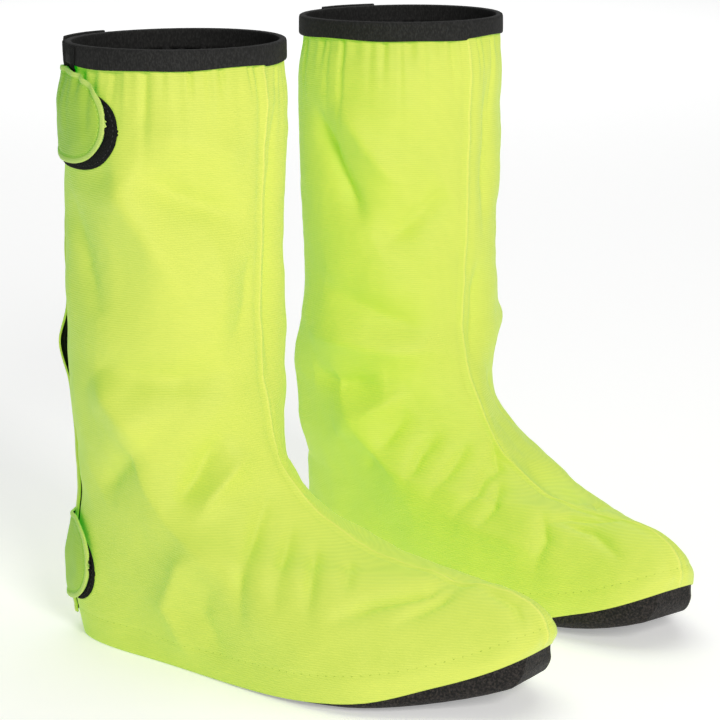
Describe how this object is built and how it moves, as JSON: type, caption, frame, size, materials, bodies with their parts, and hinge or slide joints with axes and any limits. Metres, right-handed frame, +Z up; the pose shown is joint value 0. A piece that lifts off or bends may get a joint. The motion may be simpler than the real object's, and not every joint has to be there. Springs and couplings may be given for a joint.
{
  "type": "waterproof overshoes",
  "caption": "Calf-high soft waterproof shoe covers with an elastic top, a back flap closed by hook-and-loop tape and tabs, and a rubberised sole.",
  "frame": {"origin": "centre of the pair, on the ground, between the two covers", "axes": "+Z up, toes towards -Y and turned slightly in, the right cover on the -X side"},
  "size_m": [0.3486, 0.3244, 0.358],
  "materials": {
    "cloth": "coated ribbed cloth",
    "elastic": "woven elastic",
    "hook_and_loop": "matt pile",
    "rubberised_cloth": "pebbled, matt",
    "seam_tape": "smooth film"
  },
  "bodies": {
    "right_cover": {"right_outer_panel": "cloth", "right_inner_panel": "cloth", "right_sole": "rubberised_cloth", "right_collar_band": "elastic", "right_front_seam_tape": "seam_tape", "right_hem_facing": "seam_tape", "right_back_loop_tape": "hook_and_loop", "right_top_loop_patch": "hook_and_loop", "right_heel_loop_patch": "hook_and_loop"},
    "right_flap": {"right_back_flap": "cloth", "right_back_hook_tape": "hook_and_loop", "right_flap_band": "elastic"},
    "right_top_tab": {"right_top_tab": "cloth", "right_top_hook_pad": "hook_and_loop"},
    "right_heel_tab": {"right_heel_tab": "cloth", "right_heel_hook_pad": "hook_and_loop"},
    "left_cover": {"left_outer_panel": "cloth", "left_inner_panel": "cloth", "left_sole": "rubberised_cloth", "left_collar_band": "elastic", "left_front_seam_tape": "seam_tape", "left_hem_facing": "seam_tape", "left_back_loop_tape": "hook_and_loop", "left_top_loop_patch": "hook_and_loop", "left_heel_loop_patch": "hook_and_loop"},
    "left_flap": {"left_back_flap": "cloth", "left_back_hook_tape": "hook_and_loop", "left_flap_band": "elastic"},
    "left_top_tab": {"left_top_tab": "cloth", "left_top_hook_pad": "hook_and_loop"},
    "left_heel_tab": {"left_heel_tab": "cloth", "left_heel_hook_pad": "hook_and_loop"}
  },
  "joints": [
    {"name": "left_cover_lift", "type": "slide", "parent": "right_cover", "child": "left_cover", "axis": [0, 0, 1], "range_m": [0, 0.1]},
    {"name": "right_flap_open", "type": "hinge", "parent": "right_cover", "child": "right_flap", "pos_m": [-0.10262, 0.15234, 0.18529], "axis": [0, 0, -1], "range_deg": [0, 100]},
    {"name": "right_top_tab_open", "type": "hinge", "parent": "right_flap", "child": "right_top_tab", "pos_m": [-0.13253, 0.14392, 0.3145], "axis": [0, 0, -1], "range_deg": [0, 110]},
    {"name": "right_heel_tab_open", "type": "hinge", "parent": "right_flap", "child": "right_heel_tab", "pos_m": [-0.13391, 0.15193, 0.048], "axis": [0, 0, -1], "range_deg": [0, 110]},
    {"name": "left_flap_open", "type": "hinge", "parent": "left_cover", "child": "left_flap", "pos_m": [0.10262, 0.15934, 0.18529], "axis": [0, 0, 1], "range_deg": [0, 100]},
    {"name": "left_top_tab_open", "type": "hinge", "parent": "left_flap", "child": "left_top_tab", "pos_m": [0.13253, 0.15092, 0.3145], "axis": [0, 0, 1], "range_deg": [0, 110]},
    {"name": "left_heel_tab_open", "type": "hinge", "parent": "left_flap", "child": "left_heel_tab", "pos_m": [0.13391, 0.15893, 0.048], "axis": [0, 0, 1], "range_deg": [0, 110]}
  ]
}
